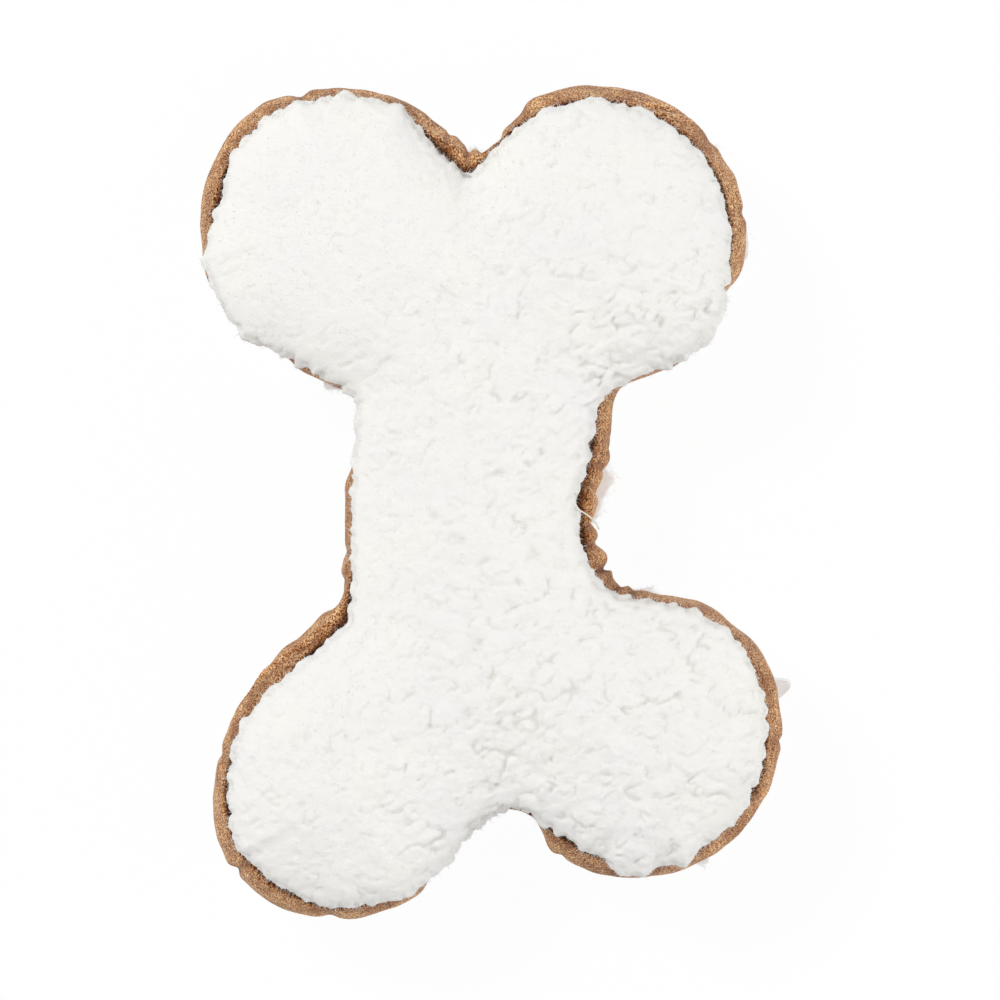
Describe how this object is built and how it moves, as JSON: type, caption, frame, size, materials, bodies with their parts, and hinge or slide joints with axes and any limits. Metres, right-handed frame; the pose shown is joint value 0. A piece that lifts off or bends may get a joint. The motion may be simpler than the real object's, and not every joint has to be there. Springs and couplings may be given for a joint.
{
  "type": "squeaky dog toy",
  "caption": "Stuffed bone-shaped dog toy with white sherpa-fleece faces, a tan faux-suede rim between them and a squeaker packed in its filling.",
  "frame": {"origin": "under the middle of the toy's box, on the surface that its back panel lies on", "axes": "+Z out of the front panel, +Y along the bone's length towards the lobes with the narrow notch, +X to the right of the front panel"},
  "size_m": [0.1744, 0.25, 0.066],
  "materials": {
    "fleece": "curly white sherpa pile",
    "suede": "tan brushed faux suede",
    "thread": "off-white sewing thread",
    "fibre": "loose white polyester fibre",
    "bulb_plastic": "soft milky blown plastic",
    "plug_plastic": "hard moulded plastic",
    "reed_film": "thin stiff film"
  },
  "bodies": {
    "root": {"back_panel": "fleece", "gusset_strip_right": "suede", "gusset_strip_left": "suede", "back_seam_thread": "thread", "upper_join_thread": "thread", "lower_join_thread": "thread", "fill_upper_left": "fibre", "fill_upper_right": "fibre", "fill_lower_left": "fibre", "fill_lower_right": "fibre", "fill_shaft_front": "fibre", "fill_shaft_back": "fibre", "squeaker_bulb": "bulb_plastic", "squeaker_plug": "plug_plastic", "squeaker_reed_clip": "plug_plastic"},
    "front": {"front_panel": "fleece", "front_seam_thread": "thread", "closing_seam_thread": "thread"},
    "reed": {"squeaker_reed": "reed_film"}
  },
  "joints": [
    {"name": "squeeze", "type": "slide", "parent": "root", "child": "front", "axis": [0, 0, -1], "range_m": [0, 0.014], "stiffness_N_per_m": 1500, "deforming": ["gusset_strip_right", "gusset_strip_left", "upper_join_thread", "lower_join_thread", "fill_upper_left", "fill_upper_right", "fill_lower_left", "fill_lower_right", "fill_shaft_front", "fill_shaft_back", "squeaker_bulb"]},
    {"name": "reed_flex", "type": "hinge", "parent": "root", "child": "reed", "pos_m": [-0.0029, -0.0137, 0.03245], "axis": [1, 0, 0], "range_deg": [-1.4, 3], "stiffness_Nm_per_rad": 0.0001}
  ]
}
